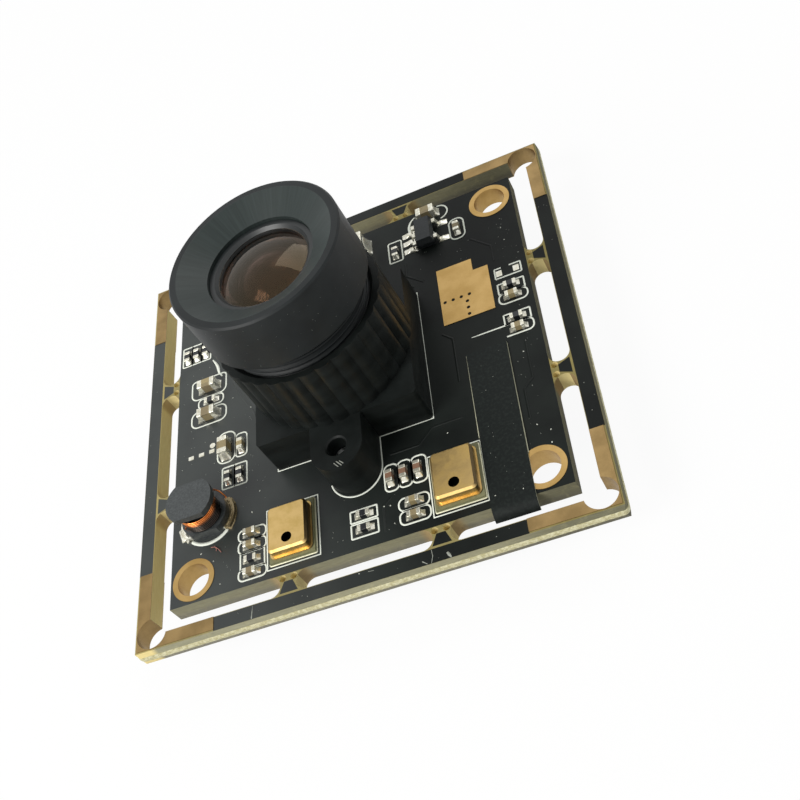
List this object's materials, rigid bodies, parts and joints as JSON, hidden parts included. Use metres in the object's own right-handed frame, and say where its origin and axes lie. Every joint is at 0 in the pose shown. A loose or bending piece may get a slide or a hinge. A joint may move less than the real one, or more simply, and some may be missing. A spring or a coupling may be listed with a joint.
{
  "type": "board camera module",
  "caption": "Square circuit board in a breakaway frame, with a screw-focus wide-angle lens in a ribbed holder, microphones and soldered parts.",
  "frame": {"origin": "centre of the four mounting holes of the inner board, on its underside", "axes": "+Z along the lens axis, out of the lens; +Y towards the cable socket's mouth; +X to the right when the lens is seen from the front with +Y up"},
  "size_m": [0.038, 0.038, 0.0207],
  "materials": {
    "board": "glass-epoxy laminate under satin black solder mask",
    "gold": "flat immersion gold over copper",
    "tin": "tinned, slightly dull",
    "label": "matt black film",
    "holder": "moulded, satin",
    "screw_steel": "zinc plated",
    "barrel": "black anodised, satin",
    "front_glass": "coated and polished",
    "lens_glass": "polished",
    "filter_glass": "coated, polished",
    "sensor_ceramic": "matt",
    "sensor_glass": "polished",
    "laminate": "bare laminate, satin",
    "can_gold": "gold plated, satin",
    "ferrite": "ground, satin",
    "copper_wire": "enamelled",
    "capacitor_ceramic": "matt",
    "resistor_black": "glazed black",
    "chip_black": "moulded, matt",
    "crystal_ceramic": "matt",
    "lid_metal": "satin",
    "socket_nylon": "moulded, satin"
  },
  "bodies": {
    "board": {"circuit_board": "board", "hole_plating": "gold", "corner_plating": "gold", "heat_pad": "gold", "tinned_pads": "tin", "blank_label": "label", "lens_holder": "holder", "holder_screws": "screw_steel", "ir_cut_filter": "filter_glass", "image_sensor": "sensor_ceramic", "sensor_glass": "sensor_glass", "microphone_bases": "laminate", "microphone_cans": "can_gold", "inductor_core": "ferrite", "inductor_winding": "copper_wire", "inductor_terminals": "tin", "capacitor_bodies": "capacitor_ceramic", "capacitor_terminals": "tin", "resistor_bodies": "resistor_black", "resistor_terminals": "tin", "regulator_body": "chip_black", "regulator_leads": "tin", "usb_controller": "chip_black", "controller_leads": "tin", "flash_memory": "chip_black", "flash_leads": "tin", "crystal_base": "crystal_ceramic", "crystal_lid": "lid_metal", "cable_socket": "socket_nylon", "socket_pins": "tin", "socket_anchors": "tin"},
    "glass_stack": {"front_ring": "barrel", "front_lens": "front_glass", "middle_lens": "lens_glass", "aperture_ring": "barrel", "rear_lens": "lens_glass", "rear_ring": "barrel"},
    "barrel": {"lens_barrel": "barrel"}
  },
  "joints": [
    {"name": "focus_travel", "type": "slide", "parent": "board", "child": "glass_stack", "axis": [0, 0, 1], "range_m": [-0.00102, 0.00102]},
    {"name": "focus_turn", "type": "hinge", "parent": "glass_stack", "child": "barrel", "pos_m": [0, 0, 0.0126], "axis": [0, 0, 1], "range_deg": [-720, 720]}
  ],
  "couplings": [
    {"joint": "focus_travel", "follows": "focus_turn", "m_per_rad": 0.000079577}
  ]
}
